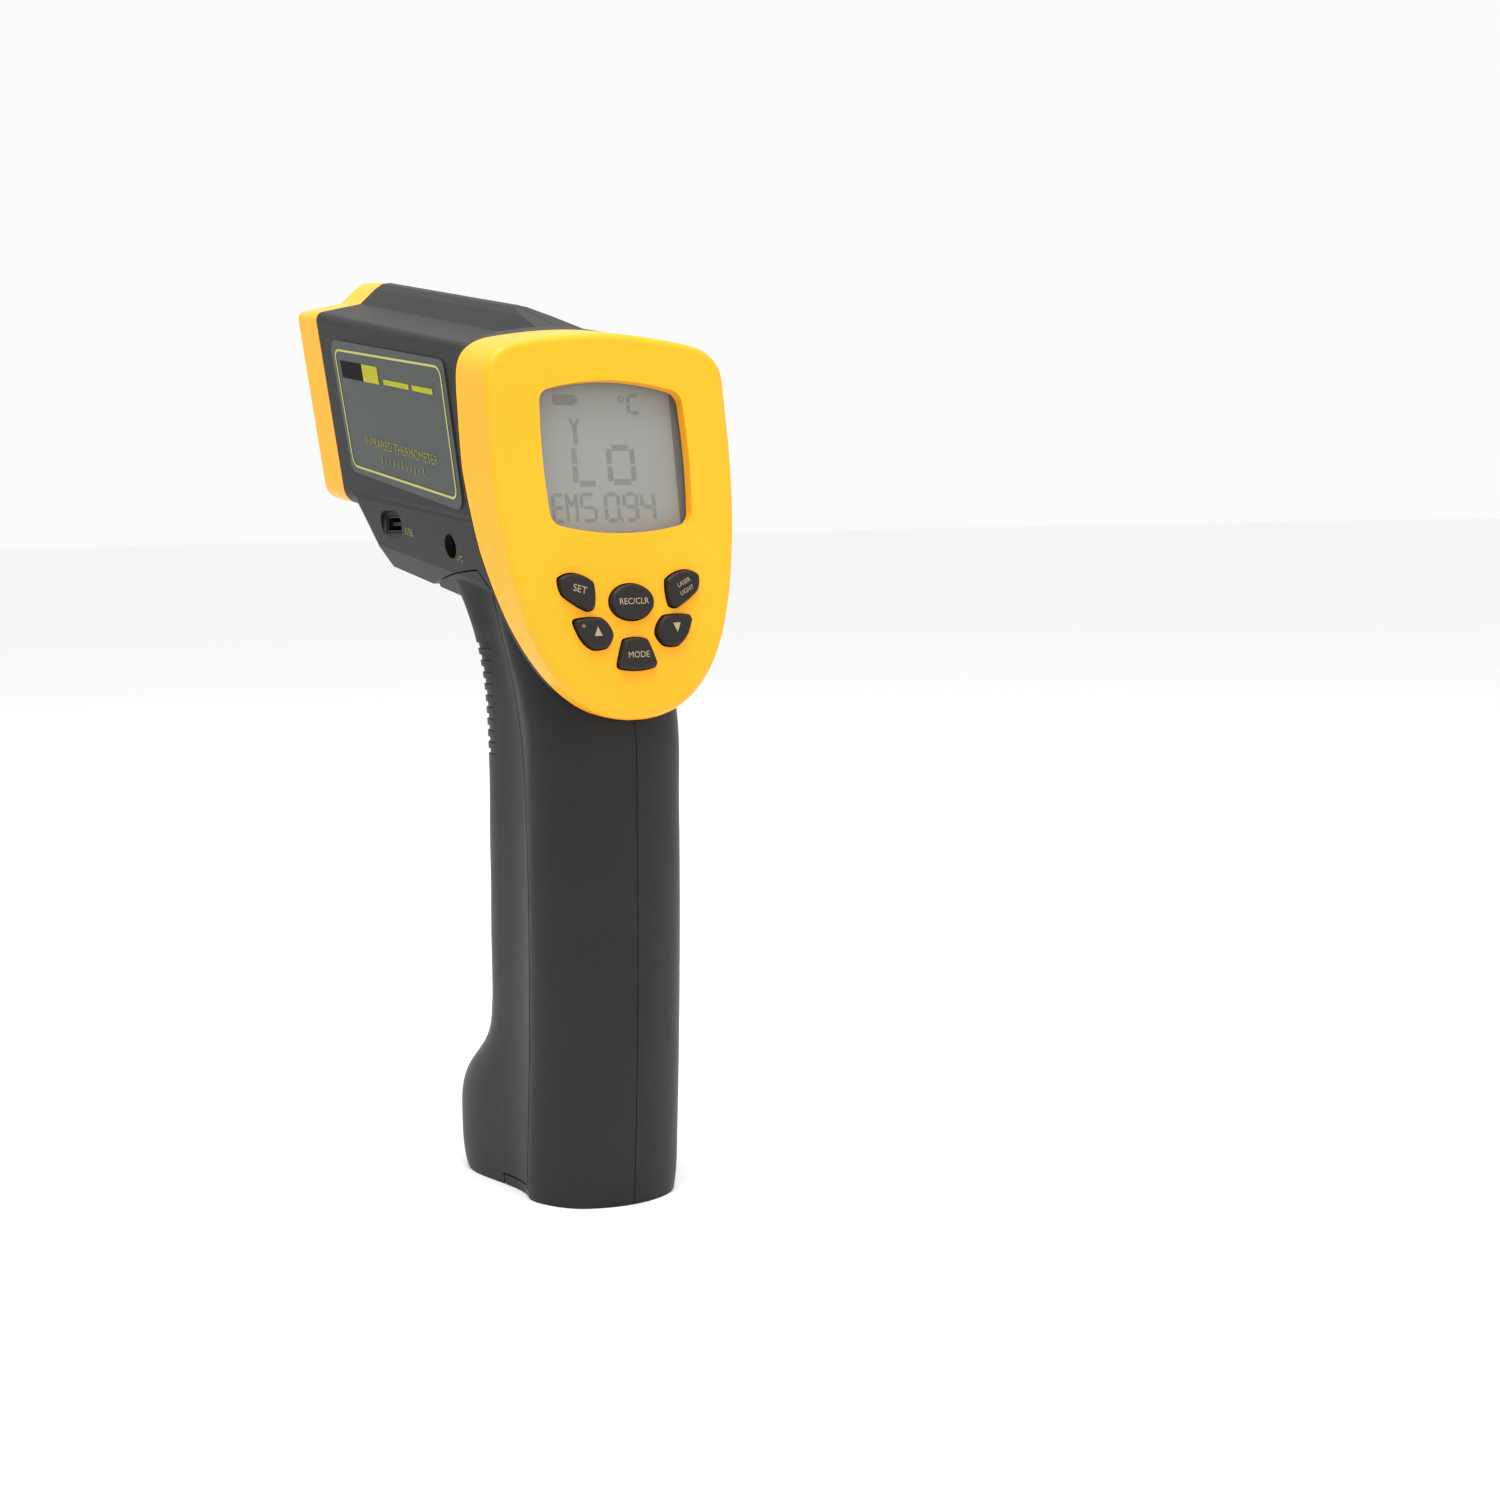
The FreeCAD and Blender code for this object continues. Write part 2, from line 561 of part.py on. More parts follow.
def bored(z, radius, near, far):
    a, b = nose_at(z, near), nose_at(z, far)
    return rod(radius, tuple(a), tuple(b))


def front_plane(depth):
    return [(nose_at(z, depth).x, z) for z in (230, 130)]


def nose_slice(near, far):
    return side_prism(front_plane(near) + list(reversed(front_plane(far))), -40, 40)


def nose_ring():
    """The coloured collar round the nose, an open sleeve."""
    collar = OUTER.common(nose_zone(-SEAM))
    return collar.cut(barrel(WALL).fuse(ridge(WALL)))


def front_plate():
    """The dark plate set back in the nose, with the lens and the laser's hole in it."""
    plate = nose_slice(3.4, 5.4).common(barrel(WALL).fuse(ridge(WALL)))
    return plate.cut(bored(LENS_Z, 10.6, -2, 12)).cut(bored(LASER_Z, 2.6, -2, 12))


def lens_tube():
    """A blackened tube with a shoulder behind the front plate and a small hole for the sensor."""
    tube = bored(LENS_Z, 10.5, 2.4, 30).cut(bored(LENS_Z, 8.6, 2.0, 26)).cut(bored(LENS_Z, 3.2, 20, 32))
    return tube.fuse(bored(LENS_Z, 12.0, 8.4, 10.2).cut(bored(LENS_Z, 9.4, 8.0, 10.6)))


def lens():
    """A thin plano-convex window that focuses the infrared."""
    a, b = nose_at(LENS_Z, 8.4), nose_at(LENS_Z, 6.6)
    disc = rod(8.5, tuple(a), tuple(b))
    ball = Part.makeSphere(22.0, nose_at(LENS_Z, 6.6 + 22.0))
    return disc.common(ball)


def infrared_sensor():
    can = bored(LENS_Z, 3.1, 27.0, 31.2).fuse(bored(LENS_Z, 4.6, 31.2, 31.9))
    return can


def laser_module():
    return bored(LASER_Z, 2.5, 3.2, 20.0).cut(bored(LASER_Z, 1.2, 3.0, 5.0))


def sensor_board():
    """The board across the barrel behind the sensor, open for the laser's leads."""
    board = nose_slice(33.2, 34.8).common(box(0, 90, -15.0, 15.0, 161.0, 193.0))
    return board.cut(bored(LASER_Z, 2.9, 10, 50)).common(INNER)


# ---- trigger -------------------------------------------------------------------------------
def trigger():
    """A lever hung from its pin, with a blade that widens towards its foot."""
    outline = [(6.0, 127.2), (11.5, 126.4), (15.6, 127.4), (15.2, 124.6), (14.5, 116.5), (15.0, 108.0),
               (15.9, 100.6), (17.0, 100.4), (21.4, 100.9), (23.8, 102.6), (24.2, 105.2),
               (23.6, 112.0), (22.8, 117.0), (20.4, 124.0), (18.8, 130.4), (17.2, 132.4),
               (11.5, 133.4), (8.0, 133.9), (5.2, 132.6), (4.6, 130.5)]
    blade = side_prism(outline, -TRIGGER_HALF, TRIGGER_HALF)
    blade = rounded(blade, 1.4, lambda e: abs(e.tangentAt(e.FirstParameter).y) < 0.1
                    and e.CenterOfMass.x > 18.5 and e.CenterOfMass.z < 128)
    x, z = TRIGGER_PIN
    neck = box(0, 13.0, TRIGGER_HALF - 2.2, 9, 122, 140).fuse(
        box(0, 13.0, -9, -TRIGGER_HALF + 2.2, 122, 140))
    return blade.cut(neck).cut(rod(TRIGGER_PIN_R + 0.06, (x, -9, z), (x, 9, z)))


def trigger_pin():
    x, z = TRIGGER_PIN
    return rod(TRIGGER_PIN_R, (x, -7.6, z), (x, 7.6, z))


def trigger_cradle():
    """Two cheeks and a back that carry the trigger's pin, spring and switch."""
    x, z = TRIGGER_PIN
    cheeks = box(-6.0, 11.2, -7.6, 7.6, 119.0, 140.6).cut(box(-3.6, 20, -5.6, 5.6, 110, 138.6))
    return cheeks.cut(rod(TRIGGER_PIN_R, (x, -9, z), (x, 9, z))).cut(
        box(6.2, 20, -9, 9, 110, 124.6))


def trigger_spring():
    """A torsion spring of round wire on the pin, its legs on the cradle and the trigger."""
    x, z = TRIGGER_PIN
    coils = [Part.makeTorus(2.1, 0.3, Vector(x, y, z), Vector(0, 1, 0)) for y in (3.4, 4.1, 4.8)]
    return Part.makeCompound(coils)


def trigger_switch():
    body = box(-3.6, 2.4, -3.0, 3.0, 119.6, 126.0)
    return body.fuse(box(2.4, 3.2, -1.2, 1.2, 121.6, 124.0))


# ---- battery door and battery ---------------------------------------------------------------
def finger_ribs():
    """The fine grooves round the left front of the grip, beside the trigger."""
    heights = [RIB_FOOT + i * RIB_PITCH for i in range(RIB_COUNT)]
    cutters = [box(1.0, 17.6, 5.6, 20, z, z + RIB_PITCH / 2) for z in heights]
    return cutters[0].fuse(cutters[1:]).cut(grip(RIB_DEPTH))


def battery_door():
    """The front of the grip and the throat, one moulding that swings on the hinge in the base."""
    door = SKIN.common(door_zone(0.0, DOOR_FRONT)).cut(finger_ribs())
    slot = box(6.0, 26.4, -TRIGGER_HALF - 0.45, TRIGGER_HALF + 0.45, 98.2, 140)
    door = door.cut(slot)
    x, z = HINGE
    door = door.cut(box(-1, x + HINGE_R + CLEAR, -5.8, 5.8, -1, 2 * HINGE_R + CLEAR))
    keep = max(door.Solids, key=lambda s: s.Volume)
    for s in (-1, 1):
        keep = keep.fuse(rod(HINGE_R, (x, s * 5.8, z), (x, s * 18, z)).common(OUTER))
    keep = keep.cut(rod(HINGE_PIN_R + 0.06, (x, -14.9, z), (x, 14.9, z)))
    return keep


def hinge_pin():
    x, z = HINGE
    return rod(HINGE_PIN_R, (x, -14.6, z), (x, 14.6, z))


def hinge_block():
    """The lug between the door's knuckles, standing on the casing's bottom plate."""
    x, z = HINGE
    lug = rod(HINGE_R, (x, -5.5, z), (x, 5.5, z)).fuse(box(-8.0, x, -5.5, 5.5, WALL, WALL + 2.0))
    return lug.cut(rod(HINGE_PIN_R, (x, -8, z), (x, 8, z)))


def battery_tray():
    """A channel that holds the battery, open towards the door."""
    wide, deep, tall = BATTERY
    x0, z0 = -25.6, 24.0
    outer = box(x0, x0 + deep - 3.0, -wide / 2 - 1.6, wide / 2 + 1.6, z0 - 1.6, z0 + tall + 10)
    channel = box(x0 + 1.4, x0 + 60, -wide / 2 - 0.2, wide / 2 + 0.2, z0, z0 + tall + 20)
    return outer.cut(channel).common(INNER)


def battery():
    wide, deep, tall = BATTERY
    block = box(-24.0, -24.0 + deep, -wide / 2, wide / 2, 24.2, 24.2 + tall)
    block = rounded(block, 1.6, upright)
    for s in (-1, 1):
        block = block.fuse(rod(2.9, (-24 + deep / 2 + s * 6.4, 0, 24.2 + tall),
                               (-24 + deep / 2 + s * 6.4, 0, 24.2 + tall + 2.6)))
    return block


def battery_snap():
    wide, deep, tall = BATTERY
    z0 = 24.2 + tall + 2.7
    cap = box(-24 + 1.2, -24 + deep - 1.2, -6.4, 6.4, z0, z0 + 3.0)
    return rounded(cap, 2.0, upright)


# ---- sockets, bush, strap bar -----------------------------------------------------------------
def usb_socket():
    x, z = USB_AT
    case = box(x - 3.85, x + 3.85, 8.0, 15.4, z - 1.95, z + 1.95)
    hollow = box(x - 3.35, x + 3.35, 10.0, 16.0, z - 1.45, z + 1.45)
    return case.cut(hollow).fuse(box(x - 2.6, x + 2.6, 9.5, 14.6, z - 0.45, z + 0.45))


def power_socket():
    x, z = JACK_AT
    body = rod(4.2, (x, 4.0, z), (x, 14.2, z)).cut(rod(2.7, (x, 6.0, z), (x, 16, z)))
    return body.fuse(rod(0.9, (x, 5.0, z), (x, 13.6, z))).common(INNER)


def socket_board():
    return side_prism([(12, 148.4), (56, 153.2), (56, 155.2), (12, 150.4)], 0.8, 13.5)


def tripod_bush():
    along = Vector(-math.sin(BUSH_LEAN), 0, math.cos(BUSH_LEAN))
    mouth = Vector(BUSH_AT[0], 0, BUSH_AT[1]) + along * 0.6
    outer = Part.makeCylinder(4.25, 8.4, mouth, along)
    return outer.cut(Part.makeCylinder(3.175, 20, mouth - along * 5, along))


def tripod_plug():
    """A soft push-in stopper with a round head to pull it by."""
    along = Vector(-math.sin(BUSH_LEAN), 0, math.cos(BUSH_LEAN))
    mouth = Vector(BUSH_AT[0], 0, BUSH_AT[1])
    plug = Part.makeCylinder(3.1, 9.4, mouth - along * 3.0, along)
    return rounded(plug, 0.6, lambda e: e.CenterOfMass.z < 136)


def strap_bar():
    return rod(0.8, (STRAP_AT, -4.0, 2.4), (STRAP_AT, 4.0, 2.4))


def main_board():
    return side_prism([(-4.0, 164.6), (44.0, 171.6), (44.0, 173.2), (-4.0, 166.2)], -14.5, 14.5)


def screws():
    group = []
    for x, z in SCREWS:
        head = rod(2.6, (x, -15.9, z), (x, -14.0, z))
        shank = rod(1.15, (x, -14.0, z), (x, 11.0, z))
        group.append(head.fuse(shank))
    return Part.makeCompound(group)


def label(outline, side):
    y0, y1 = (5, 40) if side > 0 else (-40, -5)
    plate = side_prism(outline, y0, y1)
    plate = rounded(plate, 2.6, lambda e: abs(e.tangentAt(e.FirstParameter).y) > 0.99)
    return plate.common(BARREL_SKIN)


def nodes():
    """Every separate piece of the instrument, by name."""
    made = {
        "left_shell": half_casing(1), "right_shell": half_casing(-1), "rear_bezel": bezel(),
        "nose_ring": nose_ring(), "front_plate": front_plate(), "lens_tube": lens_tube(),
        "infrared_lens": lens(), "infrared_sensor": infrared_sensor(), "laser_module": laser_module(),
        "sensor_board": sensor_board(), "main_board": main_board(), "display_window": window_pane(),
        "display_module": display_module(), "display_board": display_board(), "buzzer": buzzer(),
        "keypad_board": keypad_sheet(), "trigger": trigger(), "trigger_pin": trigger_pin(),
        "trigger_cradle": trigger_cradle(), "trigger_spring": trigger_spring(),
        "trigger_switch": trigger_switch(), "battery_door": battery_door(),
        "door_hinge_pin": hinge_pin(), "door_hinge_block": hinge_block(),
        "battery_tray": battery_tray(), "battery": battery(), "battery_snap": battery_snap(),
        "usb_socket": usb_socket(), "power_socket": power_socket(), "socket_board": socket_board(),
        "tripod_bush": tripod_bush(), "tripod_plug": tripod_plug(), "strap_bar": strap_bar(),
        "strap_cup": strap_cup(), "case_screws": screws(), "label_left": label(LABEL_LEFT, 1),
        "label_right": label(LABEL_RIGHT, -1)}
    for spec in KEYS:
        made["key_" + spec[0]] = key(spec)
    return made


def main():
    os.makedirs("parts", exist_ok=True)
    for name, shape in nodes().items():
        sound = all(s.isValid() and s.Volume > 0 for s in shape.Solids) and shape.Solids
        print(f"{name}: {len(shape.Solids)} solids, {shape.Volume:.0f} mm3{'' if sound else '  UNSOUND'}")
        shape.translated(Vector(-MIDDLE, 0, 0)).exportStep(f"parts/{name}.step")


main()
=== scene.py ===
import math

import bpy
from mathutils import Matrix, Vector


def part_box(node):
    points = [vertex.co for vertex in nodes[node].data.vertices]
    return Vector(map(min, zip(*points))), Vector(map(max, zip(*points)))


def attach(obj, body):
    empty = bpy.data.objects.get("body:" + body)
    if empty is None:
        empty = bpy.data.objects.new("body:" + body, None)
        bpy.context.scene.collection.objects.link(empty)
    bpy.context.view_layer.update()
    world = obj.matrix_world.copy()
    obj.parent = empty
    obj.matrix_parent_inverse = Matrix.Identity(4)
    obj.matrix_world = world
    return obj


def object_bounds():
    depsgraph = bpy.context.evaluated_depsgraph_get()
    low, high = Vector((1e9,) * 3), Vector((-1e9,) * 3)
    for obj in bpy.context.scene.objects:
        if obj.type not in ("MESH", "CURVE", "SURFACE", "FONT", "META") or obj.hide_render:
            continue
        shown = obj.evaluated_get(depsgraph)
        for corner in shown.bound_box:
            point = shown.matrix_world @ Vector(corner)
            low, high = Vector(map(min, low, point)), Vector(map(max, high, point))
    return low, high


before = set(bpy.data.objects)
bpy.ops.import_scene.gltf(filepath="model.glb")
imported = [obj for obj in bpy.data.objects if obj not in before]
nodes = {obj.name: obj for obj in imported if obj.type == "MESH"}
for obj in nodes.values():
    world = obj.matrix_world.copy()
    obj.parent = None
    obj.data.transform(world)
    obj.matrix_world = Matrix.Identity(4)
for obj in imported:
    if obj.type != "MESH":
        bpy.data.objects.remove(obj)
cad_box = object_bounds()


# ---- camera -----------------------------------------------------------------------------
# Behind the instrument and to its left, a little above the middle of the grip, about half a
# metre away, with the frame shifted so that the instrument stands left of its middle.
aim = Vector((-0.0073, 0.0, 0.0957))
turn, rise = math.radians(150.3), math.radians(5.4)
distance, roll = 0.545, math.radians(-1.1)
back = Vector((math.cos(turn) * math.cos(rise), math.sin(turn) * math.cos(rise),
               math.sin(rise)))
bpy.ops.object.camera_add(location=aim + back * distance)
camera = bpy.context.object
camera.name = "camera"
camera.data.lens = 56.5              # millimetres, on a 36 mm sensor
camera.data.sensor_width = 36.0
camera.data.shift_x = 0.157
camera.rotation_mode = "QUATERNION"
facing = (-back).to_track_quat("-Z", "Y").to_matrix().to_4x4()
camera.rotation_quaternion = (facing @ Matrix.Rotation(roll, 4, "Z")).to_quaternion()
camera.data.clip_start, camera.data.clip_end = 0.02, 60.0
bpy.context.scene.camera = camera


# ---- studio -----------------------------------------------------------------------------
# A pale floor that carries on for metres under an even white sky, and four soft boxes: a
# strong wide one over the top, one from behind the instrument, and a weak one on each side.
bpy.ops.mesh.primitive_plane_add(size=60.0, location=(0, 0, cad_box[0].z))
floor = bpy.context.object
floor.name = "studio_floor"
bpy.ops.object.transform_apply(location=True, rotation=True, scale=True)
paper = bpy.data.materials.new("studio_paper")
paper.use_nodes = True
paper_shader = paper.node_tree.nodes["Principled BSDF"]
paper_shader.inputs["Base Color"].default_value = (0.95, 0.95, 0.95, 1)
paper_shader.inputs["Roughness"].default_value = 0.85
floor.data.materials.append(paper)

world = bpy.data.worlds.new("studio_world")
world.use_nodes = True
world.node_tree.nodes["Background"].inputs["Color"].default_value = (1.0, 1.0, 1.0, 1)
world.node_tree.nodes["Background"].inputs["Strength"].default_value = 0.97
bpy.context.scene.world = world
bpy.context.scene.view_settings.view_transform = "Standard"


def softbox(name, place, target, size, power):
    bpy.ops.object.light_add(type="AREA", location=place)
    lamp = bpy.context.object
    lamp.name = name
    lamp.data.shape = "DISK"
    lamp.data.size = size
    lamp.data.energy = power
    lamp.rotation_mode = "QUATERNION"
    lamp.rotation_quaternion = (Vector(target) - Vector(place)).to_track_quat("-Z", "Y")


softbox("soft_top", (-0.15, 0.1, 0.95), (0, 0, 0.1), 0.7, 8.5)
softbox("soft_key", (-0.85, 0.05, 0.55), (0, 0, 0.11), 0.45, 0.5)
softbox("soft_left", (0.15, 0.9, 0.35), (0, 0, 0.1), 0.5, 0.15)
softbox("soft_right", (0.3, -0.9, 0.3), (0, 0, 0.1), 0.5, 0.15)


# ---- grey moulding ------------------------------------------------------------------------
# The casing halves, the battery door, the hinge block and the strap's cup are one dark grey
# ABS, moulded in a tool with a fine spark-eroded grain and left unpainted.
def new_material(name, colour, roughness):
    made = bpy.data.materials.new(name)
    made.use_nodes = True
    shader = made.node_tree.nodes["Principled BSDF"]
    shader.inputs["Base Color"].default_value = (*colour, 1)
    shader.inputs["Roughness"].default_value = roughness
    shader.inputs["Specular IOR Level"].default_value = 0.2
    return made, made.node_tree.nodes, made.node_tree.links, shader


def grain(tree_nodes, links, shader, scale, depth, strength):
    """A fine even grain in the surface, fed to the shader's normal.  Gives its coordinates."""
    place = tree_nodes.new("ShaderNodeTexCoord")
    noise = tree_nodes.new("ShaderNodeTexNoise")
    noise.inputs["Scale"].default_value = scale
    noise.inputs["Detail"].default_value = 3.0
    bump = tree_nodes.new("ShaderNodeBump")
    bump.inputs["Strength"].default_value = strength
    bump.inputs["Distance"].default_value = depth
    links.new(place.outputs["Object"], noise.inputs["Vector"])
    links.new(noise.outputs["Fac"], bump.inputs["Height"])
    links.new(bump.outputs["Normal"], shader.inputs["Normal"])
    return place


def mottle(tree_nodes, links, shader, place, scale, dark, light, rough_low, rough_high):
    """Slow drift of colour and polish over the moulding, as handling leaves it."""
    drift = tree_nodes.new("ShaderNodeTexNoise")
    drift.inputs["Scale"].default_value = scale
    drift.inputs["Detail"].default_value = 4.0
    links.new(place.outputs["Object"], drift.inputs["Vector"])
    ramp = tree_nodes.new("ShaderNodeValToRGB")
    ramp.color_ramp.elements[0].position, ramp.color_ramp.elements[1].position = 0.3, 0.7
    ramp.color_ramp.elements[0].color = (*dark, 1)
    ramp.color_ramp.elements[1].color = (*light, 1)
    links.new(drift.outputs["Fac"], ramp.inputs["Fac"])
    links.new(ramp.outputs["Color"], shader.inputs["Base Color"])
    polish = tree_nodes.new("ShaderNodeMapRange")
    polish.inputs["To Min"].default_value = rough_low
    polish.inputs["To Max"].default_value = rough_high
    links.new(drift.outputs["Fac"], polish.inputs["Value"])
    links.new(polish.outputs["Result"], shader.inputs["Roughness"])


grey_moulding, parts, wires, shader = new_material("grey_moulding", (0.0137, 0.0132, 0.0132), 0.46)
place = grain(parts, wires, shader, 2600.0, 0.00012, 0.55)
mottle(parts, wires, shader, place, 35.0, (0.0115, 0.0110, 0.0111), (0.0160, 0.0153, 0.0152),
       0.40, 0.52)


def finish_node(name, material):
    cad = nodes[name]
    cad.data.materials.clear()
    cad.data.materials.append(material)


for name in ("left_shell", "right_shell", "battery_door", "door_hinge_block", "strap_cup"):
    finish_node(name, grey_moulding)


# ---- yellow moulding -----------------------------------------------------------------------
# The bezel, the nose ring and the trigger are a smooth yellow-orange ABS with a satin sheen.
yellow_moulding, parts, wires, shader = new_material("yellow_moulding", (0.92, 0.392, 0.014), 0.36)
place = grain(parts, wires, shader, 1500.0, 0.00004, 0.3)
mottle(parts, wires, shader, place, 22.0, (0.90, 0.375, 0.012), (0.94, 0.41, 0.016), 0.32, 0.42)
for name in ("rear_bezel", "nose_ring", "trigger"):
    finish_node(name, yellow_moulding)


# ---- black mouldings and rubber ----------------------------------------------------------------
# The nose plate, lens tube and hidden frames are plain black plastic.  The six keys and the
# stopper in the tripod hole are softer, a near-black silicone rubber.
black_moulding, parts, wires, shader = new_material("black_moulding", (0.007, 0.007, 0.007), 0.55)
grain(parts, wires, shader, 2200.0, 0.0001, 0.5)
for name in ("front_plate", "lens_tube", "trigger_cradle", "trigger_switch", "buzzer",
             "power_socket", "battery_tray", "battery_snap"):
    finish_node(name, black_moulding)

key_rubber, parts, wires, shader = new_material("key_rubber", (0.017, 0.0145, 0.013), 0.5)
grain(parts, wires, shader, 3000.0, 0.00006, 0.4)
for name in ("key_set", "key_laser", "key_record", "key_up", "key_down", "key_mode",
             "tripod_plug"):
    finish_node(name, key_rubber)


# ---- sight tube, sensor and laser ---------------------------------------------------------------
# A coated silicon lens focuses the infrared on a small metal can behind it; the laser beside
# it is a turned brass barrel.  Pins, screws and the strap bar are bright steel, and the shell
# of the mini-USB socket is dark plated steel.
def metal(name, colour, roughness, scale):
    made, parts, wires, shader = new_material(name, colour, roughness)
    shader.inputs["Metallic"].default_value = 1.0
    place = grain(parts, wires, shader, scale, 0.00003, 0.25)
    mottle(parts, wires, shader, place, 90.0, tuple(c * 0.88 for c in colour), colour,
           roughness - 0.05, roughness + 0.08)
    return made


lens_silicon = metal("lens_silicon", (0.10, 0.075, 0.11), 0.14, 600.0)
sensor_can = metal("sensor_can", (0.62, 0.61, 0.58), 0.3, 1800.0)
brass = metal("brass", (0.78, 0.52, 0.20), 0.32, 1600.0)
steel = metal("steel", (0.60, 0.60, 0.61), 0.28, 1700.0)
finish_node("infrared_lens", lens_silicon)
finish_node("infrared_sensor", sensor_can)
for name in ("laser_module", "tripod_bush"):
    finish_node(name, brass)
for name in ("trigger_pin", "trigger_spring", "door_hinge_pin", "strap_bar", "case_screws"):
    finish_node(name, steel)

socket_metal = metal("socket_metal", (0.035, 0.035, 0.035), 0.5, 1500.0)
finish_node("usb_socket", socket_metal)


# ---- boards and battery -------------------------------------------------------------------------
# Glass-fibre boards under green lacquer, and a 9 V block in a dark blue sleeve.
circuit_board, parts, wires, shader = new_material("circuit_board", (0.02, 0.13, 0.05), 0.35)
place = grain(parts, wires, shader, 900.0, 0.00005, 0.3)
mottle(parts, wires, shader, place, 260.0, (0.012, 0.10, 0.035), (0.03, 0.17, 0.07), 0.28, 0.45)
for name in ("main_board", "sensor_board", "display_board", "keypad_board", "socket_board"):
    finish_node(name, circuit_board)

battery_case, parts, wires, shader = new_material("battery_case", (0.05, 0.09, 0.22), 0.3)
place = grain(parts, wires, shader, 700.0, 0.00003, 0.2)
mottle(parts, wires, shader, place, 60.0, (0.04, 0.08, 0.20), (0.06, 0.10, 0.25), 0.26, 0.36)
finish_node("battery", battery_case)


# ---- display ------------------------------------------------------------------------------------
# A grey reflective liquid crystal glass behind a clear acrylic pane, with a black gasket round
# it.  Its figures are a low reading over the emissivity, with a battery and a unit above.
display_glass, parts, wires, shader = new_material("display_glass", (0.170, 0.177, 0.158), 0.4)
place = grain(parts, wires, shader, 1200.0, 0.00002, 0.15)
mottle(parts, wires, shader, place, 30.0, (0.164, 0.171, 0.152), (0.177, 0.184, 0.165), 0.34, 0.44)
finish_node("display_module", display_glass)

clear_pane, parts, wires, shader = new_material("clear_pane", (0.9, 0.92, 0.9), 0.06)
shader.inputs["Alpha"].default_value = 0.07
grain(parts, wires, shader, 300.0, 0.00001, 0.05)
finish_node("display_window", clear_pane)

lean = math.radians(8.5)        # the rear face leans back from upright
INK = 0.00004                   # thickness of printed ink and of the segments, metres
PROUD = 0.00002                 # how far ink stands off the face it is printed on
face_out = Vector((-math.cos(lean), 0, math.sin(lean)))
face_up = Vector((math.sin(lean), 0, math.cos(lean)))
face_right = Vector((0, -1, 0))


def face_top(name):
    """Middle of the outermost flat of a CAD node that looks out of the rear face."""
    spots = [nodes[name].matrix_world @ v.co for v in nodes[name].data.vertices]
    lift = max(p.dot(face_out) for p in spots)
    spots = [p for p in spots if p.dot(face_out) > lift - 2e-5]
    across = [p.dot(face_right) for p in spots]
    height = [p.dot(face_up) for p in spots]
    middle = face_right * (min(across) + max(across)) / 2 + face_up * (min(height) + max(height)) / 2
    return middle + face_out * lift


def plate(points, thick=INK):
    """A thin closed plate of that outline, given in metres in its own plane."""
    bpy.ops.object.select_all(action="DESELECT")
    bpy.ops.mesh.primitive_circle_add(vertices=len(points), radius=0.001, fill_type="NGON")
    made = bpy.context.object
    for vertex, (x, y) in zip(made.data.vertices, points):
        vertex.co = (x, y, 0)
    bpy.ops.object.mode_set(mode="EDIT")
    bpy.ops.mesh.select_all(action="SELECT")
    bpy.ops.mesh.normals_make_consistent(inside=False)
    bpy.ops.mesh.extrude_region_move(TRANSFORM_OT_translate={"value": (0, 0, thick)})
    bpy.ops.mesh.select_all(action="SELECT")
    bpy.ops.mesh.normals_make_consistent(inside=False)
    bpy.ops.object.mode_set(mode="OBJECT")
    return made


def stroke(x0, y0, x1, y1, wide):
    """A straight bar from one point to another, in millimetres."""
    a, b = Vector((x0, y0)) / 1000, Vector((x1, y1)) / 1000
    side = (b - a).normalized() * wide / 2000
    side = Vector((-side.y, side.x))
    return plate([tuple(a - side), tuple(b - side), tuple(b + side), tuple(a + side)])


def hoop(x, y, radius, wide):
    """A ring, in millimetres, as a thin closed band."""
    bpy.ops.object.select_all(action="DESELECT")
    bpy.ops.mesh.primitive_circle_add(vertices=40, radius=radius / 1000, fill_type="NGON",
                                      location=(x / 1000, y / 1000, 0))
    made = bpy.context.object
    bpy.ops.object.mode_set(mode="EDIT")
    bpy.ops.mesh.select_all(action="SELECT")
    bpy.ops.mesh.inset(thickness=wide / 1000)
    bpy.ops.mesh.delete(type="FACE")
    bpy.ops.mesh.select_all(action="SELECT")
    bpy.ops.mesh.extrude_region_move(TRANSFORM_OT_translate={"value": (0, 0, INK)})
    bpy.ops.mesh.select_all(action="SELECT")
    bpy.ops.mesh.normals_make_consistent(inside=False)
    bpy.ops.object.mode_set(mode="OBJECT")
    return made


def words(text, size, x=0.0, y=0.0, turn_by=0.0):
    """Lettering in millimetres, centred on a point and turned, made into a thin mesh."""
    bpy.ops.object.select_all(action="DESELECT")
    bpy.ops.object.text_add()
    made = bpy.context.object
    made.data.body = text
    made.data.size = size / 1000
    made.data.resolution_u = 3
    made.data.extrude = INK / 2
    made.data.align_x, made.data.align_y = "CENTER", "CENTER"
    bpy.ops.object.convert(target="MESH")
    made = bpy.context.object
    made.rotation_euler = (0, 0, math.radians(turn_by))
    made.location = (x / 1000, y / 1000, 0)
    return made


def joined(name, pieces):
    bpy.ops.object.select_all(action="DESELECT")
    for piece in pieces:
        piece.select_set(True)
    bpy.context.view_layer.objects.active = pieces[0]
    bpy.ops.object.transform_apply(location=True, rotation=True, scale=True)
    bpy.ops.object.join()
    made = bpy.context.object
    made.name = name
    return made


